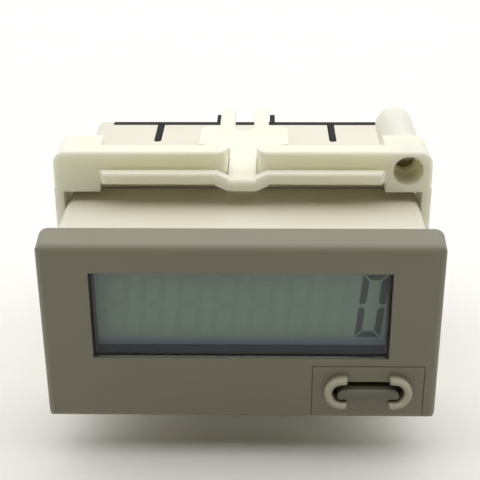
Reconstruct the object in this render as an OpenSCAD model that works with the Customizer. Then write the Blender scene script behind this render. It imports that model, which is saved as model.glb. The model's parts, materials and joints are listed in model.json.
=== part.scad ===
// Panel counter: a small totalizing counter with a liquid crystal display and a reset key,
// held in a panel cut-out by a moulded bracket that slides on from the rear.
// X runs to the right seen from the front, Y to the rear and Z up. The origin is the centre of
// the plane where the bezel's rear face rests on the panel.

/* [Bezel] */
// Width of the bezel
bezel_w = 48; // [46.5:0.5:54]
// Height of the bezel
bezel_h = 24; // [23.5:0.5:30]
// Depth of the bezel in front of the panel
bezel_t = 4.5; // [4:0.1:7]
// Corner radius of the bezel's rear edge seen from the front
bezel_corner = 1.3; // [0.8:0.1:2]
// Rounding of the bezel's front edge
bezel_edge = 1.1; // [0.4:0.1:1.5]
// Inset of the bezel's front outline against its rear edge, on each side
bezel_draft = 0.3; // [0:0.05:0.5]
// Thickness of the bezel's front face
face_t = 1.5; // [1:0.1:2]

/* [Window and display] */
// Width of the window
window_w = 35.4; // [30:0.2:36]
// Height of the window
window_h = 11.4; // [9:0.2:12]
// Height of the window's centre above the bezel's centre
window_z = 2.6; // [2:0.1:2.8]
// Depth of the window's surface below the bezel's face
window_recess = 0.25; // [0:0.05:0.6]
// Thickness of the clear window
pane_t = 0.8; // [0.6:0.1:1.1]
// Depth of the dark frame behind the bezel's face
mask_t = 1.6; // [0.8:0.1:2.5]
// Wall of the dark frame's collar, which lines the window opening
mask_lap = 0.25; // [0.2:0.05:0.8]
// Rim of the dark frame below the display glass
mask_rim = 0.7; // [0.5:0.1:1]
// Thickness of the display glass
lcd_t = 1.8; // [1:0.1:2.4]
// Overlap of the display glass behind the dark frame
lcd_lap = 0.85; // [0.5:0.05:0.9]
// Thickness of the contact strips behind the display
strip_t = 2; // [1:0.1:3]
// Distance of a contact strip's end from the window's side
strip_in = 1.5; // [1:0.1:3]
// Height of each contact strip
strip_h = 1.6; // [1:0.1:2]

/* [Reset key] */
// Width of the plate round the key
insert_w = 13.6; // [12.8:0.1:15]
// Distance from that plate's right edge to the case's side
insert_margin = 0.25; // [0:0.05:1]
// Strip of bezel between the window and that plate
insert_strip = 1; // [0.6:0.1:1.2]
// Distance from the plate's top edge to the guard ribs
guard_drop = 1.2; // [1:0.1:1.3]
// Width over both guard ribs
guard_w = 10.6; // [10.2:0.1:11]
// Height of the guard ribs seen from the front
guard_h = 4.4; // [4.2:0.1:4.6]
// Thickness of a guard rib
guard_rib = 0.95; // [0.6:0.05:1]
// How far the guard ribs stand out of the plate
guard_proud = 1.2; // [0.8:0.1:1.8]
// Gap between the two guard ribs
guard_gap = 5.1; // [4:0.1:5.6]
// Width of the opening between the guard ribs
opening_w = 8.6; // [8:0.1:8.8]
// Height of that opening
opening_h = 2.4; // [2.2:0.05:2.5]
// Width of the key
key_w = 7.4; // [6.5:0.1:7.6]
// Height of the key, which sits low in the opening
key_h = 1.5; // [1.2:0.1:1.8]
// How far the key stands out of the plate
key_proud = 1; // [0.6:0.1:1.4]
// Travel of the key
key_travel = 0.5; // [0.3:0.1:0.8]
// Radius of the key's crowned front
key_crown_r = 0.9; // [0.9:0.1:3]
// Reach of the ears that keep the key in its plate
key_ear = 1.1; // [0.9:0.05:1.2]
// Thickness of those ears
key_ear_t = 0.7; // [0.5:0.1:1]
// Width of the switch behind the key
switch_w = 5.2; // [4:0.1:6]
// Height of that switch
switch_h = 2.1; // [1.9:0.1:2.3]
// Depth of that switch in front of its board
switch_t = 2.5; // [2.2:0.1:3]
// Diameter of the switch's plunger
plunger_d = 1.6; // [1:0.1:1.8]
// Length of the plunger inside the switch
plunger_in = 0.8; // [0.5:0.1:1]

/* [Case] */
// Width of the case
case_w = 44.8; // [43:0.1:46]
// Height of the case
case_h = 22; // [21.6:0.1:23]
// Length of the case behind the panel seat
case_l = 39.6; // [38:0.2:50]
// Wall of the case
case_wall = 1.2; // [0.8:0.1:1.3]
// Corner radius of the case
case_corner = 1.2; // [0.5:0.1:1.6]
// Depth of the groove in the bezel that takes the case's front edge
seat_l = 0.8; // [0.4:0.1:1.2]
// Length of the bezel's skirt inside the case
skirt_l = 4.4; // [3.8:0.1:6]
// Wall of that skirt
skirt_wall = 0.7; // [0.5:0.05:0.8]
// Thickness of the side blocks at the rear of the case
cheek_t = 2.4; // [2:0.1:3]
// Length of the side blocks at the rear of the case
cheek_l = 3.9; // [3:0.1:5]

/* [Boards] */
// Thickness of both circuit boards
board_t = 1; // [0.8:0.1:1.6]
// Height of the main board's top face below the case's centre
board_drop = 1; // [0.5:0.1:3]
// Gap between the display board and the main board
board_gap = 0.2; // [0.1:0.1:0.5]
// Gap between the main board and the terminal block
plug_gap = 0.7; // [0.3:0.1:1.2]
// Gap between the main board and the case's side walls
side_gap = 1.2; // [0.6:0.1:1.6]
// Lap of the case's rails under the main board
rail_lap = 1; // [0.6:0.1:2]
// Thickness of those rails
rail_t = 1; // [0.8:0.1:1.6]
// Diameter of the coin cell
cell_d = 20; // [16:0.5:20]
// Distance of the coin cell from the main board's rear edge
cell_back = 1; // [0.7:0.1:1.5]
// Step at the coin cell's rim
cell_step = 1.2; // [0.8:0.1:2]
// Thickness of the coin cell
cell_t = 3.2; // [2:0.1:5]
// Thickness of the coin cell's contact tabs
tab_t = 0.3; // [0.2:0.05:0.5]
// Width of the coin cell's contact tabs
tab_w = 4; // [2:0.5:8]
// Number of pins that join the two boards
pin_count = 12; // [4:1:14]
// Distance from pin to pin
pin_pitch = 2.54; // [2:0.01:2.6]
// Thickness of a pin
pin_t = 0.6; // [0.4:0.05:0.8]
// Length of a pin along the main board
pin_l = 2.2; // [1.5:0.1:2.5]
// Distance of the first row of components from the main board's front edge
row_y = 6; // [5.5:0.1:6.4]
// Width of the counter chip
chip_w = 10; // [8:0.5:12]
// Depth of the counter chip's body
chip_l = 5; // [4:0.1:5.4]
// Thickness of the counter chip's body
chip_t = 1.8; // [1:0.1:2.4]
// Height of that body above the board
chip_gap = 0.15; // [0.05:0.05:0.2]
// Reach of the chip's leads beyond its body
chip_lead = 0.9; // [0.5:0.1:1.2]
// Distance from lead to lead
chip_pitch = 1.27; // [1:0.01:1.4]
// Width of the crystal's can
crystal_w = 8; // [6:0.5:10]
// Depth of the crystal's can
crystal_l = 3.4; // [2.5:0.1:4]
// Height of the crystal's can
crystal_h = 3.4; // [2.5:0.1:4]
// Diameter of a capacitor
cap_d = 4; // [3:0.1:4.2]
// Height of a capacitor
cap_h = 5; // [3:0.1:7]
// Gap between the two capacitors
cap_gap = 0.3; // [0.2:0.1:1]

/* [Terminals] */
// Thickness of the terminal block's rear plate
plate_t = 0.7; // [0.5:0.1:1.2]
// Depth of the terminal block inside the case
plug_l = 3.6; // [3:0.1:4.4]
// Distance from the middle to the inner barrier
barrier_x = 4; // [3.6:0.1:5]
// Thickness of the barriers
barrier_t = 0.75; // [0.5:0.05:1]
// How far the barriers stand behind the rear plate
barrier_l = 3.3; // [3.2:0.1:5]
// Height of the barriers between the terminals
barrier_h = 15; // [12:0.5:18]
// Width of a terminal plate
contact_w = 6.2; // [5:0.1:6.2]
// Height of a terminal plate
contact_h = 7.6; // [7:0.1:9]
// Thickness of a terminal plate
contact_t = 0.8; // [0.5:0.1:1]
// Height of the terminal screws above the case's centre
terminal_z = 2; // [1.8:0.1:3]
// Shank diameter of a terminal screw
terminal_d = 3; // [2.5:0.1:3.2]
// Head diameter of a terminal screw
terminal_head_d = 5.6; // [4.8:0.1:6]
// Head height of a terminal screw
terminal_head_h = 1.6; // [1.2:0.1:1.6]
// Thickness of a terminal washer
washer_t = 0.6; // [0.4:0.1:0.7]
// Reach of a terminal washer beyond its screw's head
washer_lap = 0.2; // [0.1:0.05:0.4]
// Width of the cross slot in a terminal screw
cross_w = 0.8; // [0.6:0.1:1]
// Distance of the snap tabs from the middle
snap_x = 12.7; // [12:0.1:14]
// Width of a snap tab
snap_w = 0.8; // [0.6:0.05:1.2]
// Length of a snap tab along the case
snap_l = 7.6; // [6:0.1:9]

/* [Mounting bracket] */
// Distance of the bracket's ring from the panel seat
bracket_y = 10; // [2:0.5:14]
// Width of the bracket over its corner blocks
bracket_w = 47.4; // [47.2:0.1:50]
// Height of the bracket over its corner blocks
bracket_h = 35.4; // [35:0.1:40]
// Thickness of the side legs beside the case
leg_t = 1.15; // [0.8:0.05:1.6]
// Depth of the bracket's ring
ring_l = 6.2; // [5.6:0.1:9]
// Thickness of the ring's upright walls
ring_wall = 2.9; // [2.4:0.1:3.2]
// Gap between the case and those walls
wall_lift = 2.6; // [2.4:0.1:3]
// Thickness of the web that carries each wall
web_t = 1.2; // [1:0.1:1.4]
// Thickness of the foot under the web, which guides the ring on the case
foot_t = 1.8; // [1.4:0.1:2.4]
// Width of a corner block
block_w = 5.8; // [5.6:0.1:7]
// Gap between the case and the corner blocks
block_lift = 1.4; // [1.2:0.1:1.6]
// Gap between the case and the spring bars
bar_lift = 2.95; // [2.8:0.05:3.2]
// Height of the spring bars
bar_h = 1.6; // [1.2:0.1:1.8]
// Thickness of the spring bars along the case
bar_t = 1.55; // [1.2:0.05:1.8]
// Gap between the spring bars and the ring's walls
bar_gap = 0.15; // [0.1:0.05:0.3]
// Rounding of the spring bars' edges
bar_edge = 0.45; // [0.2:0.05:0.5]
// Opening in the ring's walls for the tongue
notch_w = 3.8; // [3.7:0.1:6]
// Corner radius of the bracket
bracket_corner = 1.9; // [1:0.1:2.2]
// Rounding of the bracket's front edges and the ring's top edges
bracket_edge = 0.5; // [0.2:0.1:0.7]

/* [Latch tongue] */
// Width of the tongue's front
tongue_w = 3.5; // [2.5:0.1:3.5]
// Thickness of the tongue
tongue_t = 1.45; // [1.2:0.05:1.7]
// Gap between the case and the tongue
tongue_lift = 2.2; // [1.8:0.1:2.6]
// Length of the latch tooth under the pad
tooth_l = 3.5; // [2.5:0.1:4]
// Length of that tooth's flat tip
tooth_tip = 0.8; // [0.4:0.1:1.2]
// Distance of that tooth's upright face from the pad's end
tooth_in = 2.5; // [2.2:0.1:3]
// Rounding of the tongue's front edge
tongue_edge = 0.7; // [0.3:0.1:0.9]
// Width of the finger pad
pad_w = 12; // [10:0.5:14]
// Length of the narrow part of the tongue
neck_l = 11; // [9:0.5:13]
// Length of the finger pad
pad_l = 9; // [7:0.5:11]
// Length over which the tongue widens to the pad
pad_flare = 2; // [1:0.1:4]
// Corner radius of the pad
pad_r = 1.5; // [0.5:0.1:2]
// Width of the tongue's tail
tail_w = 6.8; // [5.5:0.1:7]
// Length of the tongue's tail
tail_l = 7; // [5:0.5:9]
// Width of the notch in the tail
tail_notch = 2.7; // [1.5:0.1:3.2]

/* [Clamp screws] */
// Distance of a clamp screw from the bracket's side
screw_in = 3.05; // [3:0.05:3.3]
// Distance of a clamp screw from the top of its corner block
screw_drop = 2.5; // [2.5:0.05:2.9]
// Diameter of the boss round a clamp screw
boss_d = 5; // [4.6:0.1:5]
// Length of that boss behind the ring
boss_l = 11.4; // [11:0.1:13]
// Depth of the bore in the boss's end, where the screw's head runs
bore_l = 9.9; // [9.5:0.1:10.4]
// Shank diameter of a clamp screw
screw_d = 2.5; // [2:0.1:2.8]
// Length of a clamp screw under its head
screw_l = 10; // [9:0.1:10]
// Head diameter of a clamp screw
screw_head_d = 3.4; // [3.1:0.1:3.5]
// Head height of a clamp screw
screw_head_h = 2; // [1.4:0.1:2.6]
// Width of the slot in that head
slot_w = 0.7; // [0.5:0.1:1]
// Depth of that slot
slot_depth = 0.9; // [0.5:0.1:1.2]
// Distance the screw is backed out
screw_out = 6.3; // [6:0.1:7]
// Diameter of the counterbore at the front
counter_d = 3.8; // [3.4:0.1:4]
// Depth of that counterbore
counter_l = 3.8; // [3:0.1:4]

/* [Fits] */
// Clearance of pieces that are fitted together
fit = 0.1; // [0.05:0.05:0.2]
// Clearance of the bracket on the case
bracket_fit = 0.15; // [0.1:0.05:0.3]
// Clearance round the key
key_fit = 0.2; // [0.15:0.05:0.3]
// Clearance of a screw in its hole
screw_fit = 0.05; // [0.02:0.01:0.1]

/* [Hidden] */
$fn = 64;
eps = 0.01;

taupe = "#7b7364";
beige = "#cfc9b9";
cream = "#efe9cf";
black = "#242424";
steel = "#b9b9b4";
green = "#3f6b45";

// Levels along the depth, front to rear
front_y = -bezel_t;
wall_y = front_y + face_t;
pane_y = front_y + window_recess;
collar_y = pane_y + pane_t;
lcd_y = wall_y + mask_t;
strip_y = lcd_y + lcd_t;
board_y = strip_y + strip_t;
board_back_y = board_y + board_t;

// Room inside the bezel and its skirt
case_in_w = case_w - 2 * case_wall;
case_in_h = case_h - 2 * case_wall;
cavity_w = case_in_w - 2 * fit - 2 * skirt_wall;
cavity_h = case_in_h - 2 * fit - 2 * skirt_wall;
window_bottom = window_z - window_h / 2;

// Plate round the key, measured from the case's right side and the window's lower edge
insert_x = case_w / 2 - insert_margin - insert_w / 2;
insert_top = window_bottom - insert_strip;
insert_h = insert_top + bezel_h / 2;
guard_z = insert_top - guard_drop - guard_h / 2;
key_z = guard_z - opening_h / 2 + key_fit + key_h / 2;
key_back_y = wall_y + fit + key_ear_t;
switch_front_y = board_y - switch_t;
plunger_l = switch_front_y - key_back_y + plunger_in;

// Main board and what stands on it
board_top = -board_drop;
main_y0 = board_back_y + board_gap;
plug_y = case_l - plug_l;
main_y1 = plug_y - plug_gap;
main_w = case_in_w - 2 * side_gap;
cell_y = main_y1 - cell_d / 2 - cell_back;

// Terminals, counted outwards from the middle on both sides
plate_y = case_l + plate_t;
mouth_w = case_w - 2 * cheek_t;
terminal_pitch = (mouth_w / 2 - fit - barrier_t / 2 - barrier_x) / 2;
terminal_x = [for (side = [-1, 1], i = [0, 1]) side * (barrier_x + (i + 0.5) * terminal_pitch)];
lead_w = 2.4;
lead_t = 0.6;

// Bracket
ring_in_w = case_w + 2 * bracket_fit;
ring_in_h = case_h + 2 * bracket_fit;
ring_w = ring_in_w + 2 * leg_t;
ring_back = bracket_y + ring_l;
ring_top = bracket_h / 2;
block_x = bracket_w / 2 - block_w;
block_z = case_h / 2 + block_lift;
wall_z = case_h / 2 + wall_lift;
bar_z = case_h / 2 + bar_lift;
bar_back_y = bracket_y - bar_gap;
bar_front = bar_back_y - bar_t;
tongue_z = case_h / 2 + tongue_lift;
tongue_root = tongue_w / 2;
pad_y = bar_front + neck_l;
tail_y = pad_y + pad_l;
bar_slope = 1.55;
bar_root = 1.5;
bar_slant = 0.75;
leg_lap = 0.5;
screw_x = bracket_w / 2 - screw_in;
screw_z = bracket_h / 2 - screw_drop;
boss_back = ring_back + boss_l;
bore_y = boss_back - bore_l;
head_y = bore_y + screw_out;

// Flat outlines and directions of extrusion

module rounded(w, h, r) {
    square([w - 2 * r, h], center = true);
    square([w, h - 2 * r], center = true);
    for (x = [-1, 1], y = [-1, 1])
        translate([x * (w / 2 - r), y * (h / 2 - r)]) circle(r);
}

module stadium(w, h) {
    square([w - h, h], center = true);
    for (x = [-1, 1]) translate([x * (w - h) / 2, 0]) circle(d = h);
}

// A depth profile with its two front corners rounded; the first coordinate is the depth
module nose(depth, w, r) {
    translate([-depth + r, -w / 2]) square([depth - r, w]);
    translate([-depth, -w / 2 + r]) square([depth, w - 2 * r]);
    for (side = [-1, 1]) translate([-depth + r, side * (w / 2 - r)]) circle(r);
}

// The same, with flanks that lean in by a draft towards the front
module drafted_nose(depth, w, r, draft) {
    lean = atan(draft / depth);
    centre = w / 2 - (depth - r) * tan(lean) - r / cos(lean);
    touch = [-depth + r - r * sin(lean), centre + r * cos(lean)];
    polygon([[0, w / 2], touch, [-depth, centre],
             [-depth, -centre], [touch[0], -touch[1]], [0, -w / 2]]);
    for (side = [-1, 1]) translate([-depth + r, side * centre]) circle(r);
}

// Front view outline, extruded from y0 back to y1
module along_y(y0, y1) {
    translate([0, y1, 0]) rotate([90, 0, 0]) linear_extrude(y1 - y0) children();
}

// Side view outline (depth, height), extruded over a width centred on x = 0
module along_x(w) {
    translate([-w / 2, 0, 0]) rotate([90, 0, 90]) linear_extrude(w) children();
}

// Plan outline, extruded from z0 up to z1
module along_z(z0, z1) {
    translate([0, 0, z0]) linear_extrude(z1 - z0) children();
}

module rod_y(r, y0, y1) {
    along_y(y0, y1) circle(r);
}

module at_xz(x, z) {
    translate([x, 0, z]) children();
}

// The same thing on the right and, mirrored, on the left
module both_sides() {
    children();
    mirror([1, 0, 0]) children();
}

// The same thing twice, half a turn apart about the depth axis
module twofold() {
    children();
    rotate([0, 180, 0]) children();
}

// Front of the device

// Corners of the bezel are cones, so that they lean with the drafted flanks between them
module bezel_form() {
    core_w = bezel_w - 2 * bezel_corner;
    core_h = bezel_h - 2 * bezel_corner;
    intersection() {
        union() {
            along_y(front_y, 0) {
                square([core_w, bezel_h], center = true);
                square([bezel_w, core_h], center = true);
            }
            for (x = [-1, 1], z = [-1, 1])
                translate([x * core_w / 2, 0, z * core_h / 2]) rotate([90, 0, 0])
                    cylinder(h = bezel_t, r1 = bezel_corner, r2 = bezel_corner - bezel_draft);
        }
        along_x(bezel_w) drafted_nose(bezel_t, bezel_h, bezel_edge, bezel_draft);
        along_z(-bezel_h / 2, bezel_h / 2)
            mirror([1, -1]) drafted_nose(bezel_t, bezel_w, bezel_edge, bezel_draft);
    }
}

module insert_outline(gap) {
    translate([insert_x - insert_w / 2 - gap, -bezel_h / 2 - eps])
        square([insert_w + 2 * gap, insert_h + gap + eps]);
}

module window_outline(grow) {
    translate([0, window_z]) square([window_w + 2 * grow, window_h + 2 * grow], center = true);
}

module bezel() {
    color(taupe) difference() {
        union() {
            difference() {
                bezel_form();
                along_y(-seat_l, eps) rounded(case_w + 2 * fit, case_h + 2 * fit, case_corner + fit);
            }
            along_y(-seat_l - eps, skirt_l)
                square([case_in_w - 2 * fit, case_in_h - 2 * fit], center = true);
        }
        along_y(wall_y, skirt_l + eps) square([cavity_w, cavity_h], center = true);
        along_y(front_y - eps, wall_y + eps) window_outline(0);
        along_y(front_y - eps, wall_y) insert_outline(0);
    }
}

module window() {
    color("#dfe8e4", 0.35) along_y(pane_y, collar_y) window_outline(-fit / 2);
}

module rib_profile() {
    translate([-guard_rib / 2, 0]) square([guard_rib, guard_proud - guard_rib / 2]);
    translate([0, guard_proud - guard_rib / 2]) circle(d = guard_rib);
}

// One curved guard rib: half a ring with two short straight arms, drawn face up
module guard() {
    mean_r = guard_h / 2 - guard_rib / 2;
    turn_x = guard_w / 2 - guard_h / 2;
    arm_x = guard_gap / 2;
    translate([turn_x, 0, 0]) rotate(-90) rotate_extrude(angle = 180) translate([mean_r, 0]) rib_profile();
    for (side = [-1, 1])
        translate([(arm_x + turn_x) / 2, side * mean_r, 0]) along_x(turn_x - arm_x) rib_profile();
}

module key_surround() {
    color(taupe) {
        difference() {
            intersection() {
                bezel_form();
                along_y(front_y - eps, wall_y) insert_outline(-fit);
            }
            at_xz(insert_x, guard_z) along_y(front_y - 1, wall_y + eps) stadium(opening_w, opening_h);
        }
        at_xz(insert_x, guard_z) translate([0, front_y + eps, 0]) rotate([90, 0, 0]) {
            guard();
            mirror([1, 0, 0]) guard();
        }
    }
}

module reset_key() {
    tip_y = front_y - key_proud;
    color(taupe) at_xz(insert_x, key_z) {
        intersection() {
            along_y(tip_y, key_back_y) stadium(key_w, key_h);
            along_x(key_w + 1) {
                translate([tip_y + key_crown_r, 0]) circle(key_crown_r);
                translate([tip_y + key_crown_r, -key_h]) square([bezel_t + key_proud, 2 * key_h]);
            }
        }
        along_y(wall_y + fit, key_back_y) square([key_w + 2 * key_ear, key_h - 2 * fit], center = true);
    }
}

module switch_plunger() {
    color("#3a3a3a") at_xz(insert_x, key_z) rod_y(plunger_d / 2, key_back_y, key_back_y + plunger_l);
}

module reset_switch() {
    color(black) at_xz(insert_x, key_z) difference() {
        along_y(switch_front_y, board_y) square([switch_w, switch_h], center = true);
        rod_y(plunger_d / 2 + fit, switch_front_y - eps, key_back_y + plunger_l + key_travel + fit);
    }
}

// Display and its board

// Dark frame: a plate behind the bezel's face with a collar that lines the window opening
module display_frame() {
    low = window_bottom - lcd_lap - mask_rim;
    high = cavity_h / 2 - fit;
    color(black) difference() {
        union() {
            along_y(wall_y, lcd_y)
                translate([-cavity_w / 2 + fit, low]) square([cavity_w - 2 * fit, high - low]);
            along_y(collar_y, wall_y + eps) window_outline(-fit / 2);
        }
        along_y(collar_y - eps, lcd_y + eps) window_outline(-mask_lap);
    }
}

module display_glass() {
    color("#8b968a") along_y(lcd_y, strip_y) window_outline(lcd_lap - mask_lap);
}

module contact_strips() {
    reach = window_h / 2 + lcd_lap - mask_lap - strip_h / 2;
    color("#50505a") for (side = [-1, 1])
        at_xz(0, window_z + side * reach)
            along_y(strip_y, board_y) square([window_w - 2 * strip_in, strip_h], center = true);
}

module display_board() {
    color(green) along_y(board_y, board_back_y)
        square([cavity_w - 2 * fit, cavity_h - 2 * fit], center = true);
}

// Main board

module main_board() {
    color(green) translate([-main_w / 2, main_y0, board_top - board_t])
        cube([main_w, main_y1 - main_y0, board_t]);
}

module board_pins() {
    color(steel) for (i = [0 : pin_count - 1])
        translate([(i - (pin_count - 1) / 2) * pin_pitch - pin_t / 2, board_back_y, board_top])
            cube([pin_t, pin_l, pin_t]);
}

module counter_chip() {
    leads = floor(chip_w / chip_pitch);
    lead_across = chip_l + 2 * chip_lead;
    translate([-main_w / 4, main_y0 + row_y, board_top]) {
        color("#2b2b2e") translate([-chip_w / 2, -chip_l / 2, chip_gap]) cube([chip_w, chip_l, chip_t]);
        color(steel) for (i = [0 : leads - 1])
            translate([(i - (leads - 1) / 2) * chip_pitch - chip_pitch / 6, -lead_across / 2, 0])
                cube([chip_pitch / 3, lead_across, 2 * chip_gap]);
    }
}

module crystal() {
    color(steel) translate([main_w / 8, main_y0 + row_y, board_top])
        linear_extrude(crystal_h) stadium(crystal_w, crystal_l);
}

module capacitors() {
    first_y = main_y0 + pin_l + cap_d / 2;
    color("#39424f") for (i = [0, 1])
        translate([main_w / 2 - cap_d, first_y + i * (cap_d + cap_gap), board_top])
            cylinder(d = cap_d, h = cap_h);
}

module coin_cell() {
    color(steel) translate([0, cell_y, board_top + tab_t]) {
        cylinder(d = cell_d, h = cell_t * 0.75);
        cylinder(d = cell_d - 2 * cell_step, h = cell_t);
    }
}

module cell_tabs() {
    top = board_top + tab_t + cell_t;
    foot_y = cell_y + cell_d / 2 + tab_t;
    color("#c9c6bb") {
        translate([-tab_w / 2, cell_y - cell_d / 2 - cell_back, board_top])
            cube([tab_w, cell_d * 0.8, tab_t]);
        translate([-tab_w / 2, cell_y, top]) cube([tab_w, foot_y + tab_t - cell_y, tab_t]);
        translate([-tab_w / 2, foot_y, board_top]) cube([tab_w, tab_t, top - board_top + tab_t]);
    }
}

// Case and terminals

module snap_slots(w, y0, y1, depth) {
    for (x = [-1, 1], z = [-1, 1]) mirror([0, 0, z < 0 ? 1 : 0])
        along_z(case_h / 2 - depth, case_h / 2) translate([x * snap_x, 0]) {
            translate([-w / 2, y0 + w / 2]) square([w, y1 - y0 - w / 2]);
            translate([0, y0 + w / 2]) circle(d = w);
        }
}

module case() {
    rail_y0 = skirt_l + 5 * fit;
    rail_y1 = plug_y - fit;
    color(beige) {
        difference() {
            union() {
                difference() {
                    along_y(-seat_l, case_l) rounded(case_w, case_h, case_corner);
                    along_y(-seat_l - eps, case_l + eps) square([case_in_w, case_in_h], center = true);
                }
                intersection() {
                    along_y(case_l - cheek_l, plate_y) rounded(case_w, case_h, case_corner);
                    both_sides() translate([mouth_w / 2, case_l - cheek_l, -case_h / 2])
                        cube([cheek_t, cheek_l + plate_t, case_h]);
                }
                both_sides() translate([main_w / 2 - rail_lap, rail_y0, board_top - board_t - rail_t])
                    cube([side_gap + rail_lap + eps, rail_y1 - rail_y0, rail_t]);
            }
            snap_slots(snap_w + 2 * fit, case_l - snap_l - fit, case_l + 1, case_wall + eps);
        }
    }
}

module terminal_block() {
    color(black) difference() {
        union() {
            along_y(case_l, plate_y) square([mouth_w - 2 * fit, case_h], center = true);
            along_y(plug_y, case_l + eps) square([mouth_w - 2 * fit, case_in_h - 2 * fit], center = true);
            snap_slots(snap_w, case_l - snap_l, case_l + eps, case_wall);
            for (side = [-1, 1]) {
                translate([side * barrier_x, 0, 0])
                    along_y(plate_y - eps, plate_y + barrier_l) square([barrier_t, case_h], center = true);
                for (i = [1, 2]) translate([side * (barrier_x + i * terminal_pitch), 0, 0])
                    along_y(plate_y - eps, plate_y + barrier_l)
                        square([barrier_t, barrier_h], center = true);
            }
        }
        for (x = terminal_x) {
            at_xz(x, terminal_z) rod_y(terminal_d / 2 + screw_fit, plug_y - eps, plate_y + eps);
            at_xz(x, board_top + lead_t / 2)
                along_y(plug_y - eps, plate_y + eps)
                    square([lead_w + 2 * fit, lead_t + 2 * fit], center = true);
        }
    }
}

module terminal_plates() {
    lead_y = main_y1 - 2;
    color(steel) for (x = terminal_x) {
        at_xz(x, terminal_z) difference() {
            along_y(plate_y, plate_y + contact_t) square([contact_w, contact_h], center = true);
            rod_y(terminal_d / 2 + screw_fit, plate_y - eps, plate_y + contact_t + eps);
        }
        at_xz(x, board_top + lead_t / 2)
            along_y(lead_y, plate_y + eps) square([lead_w, lead_t], center = true);
    }
}

module terminal_washers() {
    y0 = plate_y + contact_t;
    color("#d4d2c8") for (x = terminal_x) at_xz(x, terminal_z) difference() {
        rod_y(terminal_head_d / 2 + washer_lap, y0, y0 + washer_t);
        rod_y(terminal_d / 2 + screw_fit, y0 - eps, y0 + washer_t + eps);
    }
}

module terminal_screws() {
    y0 = plate_y + contact_t + washer_t;
    color(steel) for (x = terminal_x) at_xz(x, terminal_z) difference() {
        union() {
            rod_y(terminal_head_d / 2, y0, y0 + terminal_head_h);
            rod_y(terminal_d / 2, plug_y + 4 * fit, y0 + eps);
        }
        for (turn = [0, 90]) rotate([0, turn, 0])
            along_y(y0 + terminal_head_h * 0.4, y0 + terminal_head_h + eps)
                square([terminal_head_d * 0.62, cross_w], center = true);
    }
}

// Mounting bracket

// One spring bar in front of the ring: a round-edged bar that is rooted on the corner block with a
// slanted end, and steps down to the tongue at its other end
module spring_bar() {
    slope_x = tongue_root + bar_slope;
    straight_l = block_x - slope_x;
    drop = bar_z - tongue_z;
    intersection() {
        translate([slope_x + straight_l / 2, bar_front + bar_t / 2, bar_z + bar_h / 2])
            along_x(straight_l + 2 * eps) rounded(bar_t, bar_h, bar_edge);
        along_z(bar_z - eps, bar_z + bar_h + eps)
            polygon([[slope_x - 1, bar_front - eps], [block_x - bar_slant, bar_front - eps],
                     [block_x, bracket_y], [slope_x - 1, bracket_y]]);
    }
    along_z(bar_z + bar_edge, bar_z + bar_h - bar_edge)
        polygon([[block_x - bar_root, bar_back_y - bar_edge], [block_x - bar_slant / 2, bar_back_y - bar_edge],
                 [block_x, bracket_y + eps], [block_x - bar_root, bracket_y + eps]]);
    along_y(bar_front, bar_back_y)
        polygon([[slope_x + eps, bar_z], [slope_x + eps, bar_z + bar_h],
                 [tongue_root - eps, bar_z + bar_h - drop], [tongue_root - eps, tongue_z]]);
}

// Plan of the tongue: a narrow neck, a finger pad with round corners and a notched tail
module tongue_plan() {
    difference() {
        union() {
            translate([-tongue_root, bar_front]) square([tongue_w, neck_l + 1]);
            polygon([[-tongue_root, pad_y], [tongue_root, pad_y],
                     [pad_w / 2, pad_y + pad_flare], [-pad_w / 2, pad_y + pad_flare]]);
            translate([-pad_w / 2, pad_y + pad_flare - eps]) square([pad_w, pad_l - pad_flare - pad_r + eps]);
            translate([-pad_w / 2 + pad_r, tail_y - pad_r - 0.5]) square([pad_w - 2 * pad_r, pad_r + 0.5]);
            for (side = [-1, 1]) translate([side * (pad_w / 2 - pad_r), tail_y - pad_r]) circle(pad_r);
            translate([-tail_w / 2, tail_y - 1]) square([tail_w, tail_l + 1]);
        }
        translate([-tail_notch / 2, tail_y - 0.4]) square([tail_notch, tail_l + 1]);
        translate([0, tail_y - 0.4]) circle(d = tail_notch);
    }
}

// Plan of one half of the ring's upright wall, round at its inner end
module wall_plan() {
    x0 = notch_w / 2 + ring_wall / 2;
    translate([x0, bracket_y]) square([bracket_w / 2 - x0, ring_wall]);
    translate([x0, bracket_y + ring_wall / 2]) circle(d = ring_wall);
}

// Side view of the ring's upper wall, with its top edges rounded
module wall_profile() {
    translate([bracket_y + ring_wall / 2, wall_z]) rotate(-90)
        nose(ring_top - wall_z, ring_wall, bracket_edge);
}

// Web and foot of one half of the ring, behind and under its wall
module ring_foot() {
    x0 = notch_w / 2;
    translate([x0, bracket_y + ring_wall / 2, wall_z])
        cube([ring_w / 2 - x0, ring_l - ring_wall / 2, web_t]);
    translate([x0, ring_back - foot_t, ring_in_h / 2])
        cube([ring_w / 2 - x0, foot_t, wall_z - ring_in_h / 2 + eps]);
}

// Side view of the tongue, with its upper front edge rounded
module tongue_profile() {
    length = neck_l + pad_l + tail_l;
    translate([bar_front + tongue_edge, tongue_z]) square([length - tongue_edge, tongue_t]);
    translate([bar_front, tongue_z]) square([length, tongue_t - tongue_edge]);
    translate([bar_front + tongue_edge, tongue_z + tongue_t - tongue_edge]) circle(tongue_edge);
}

// Latch tooth under the pad: a ramp towards the front and an upright face at its rear
module latch_tooth() {
    rear = tail_y - tooth_in;
    tip_z = ring_in_h / 2;
    along_x(tail_w)
        polygon([[rear - tooth_l, tongue_z + eps], [rear - tooth_tip, tip_z], [rear, tip_z],
                 [rear, tongue_z + eps]]);
}

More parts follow.
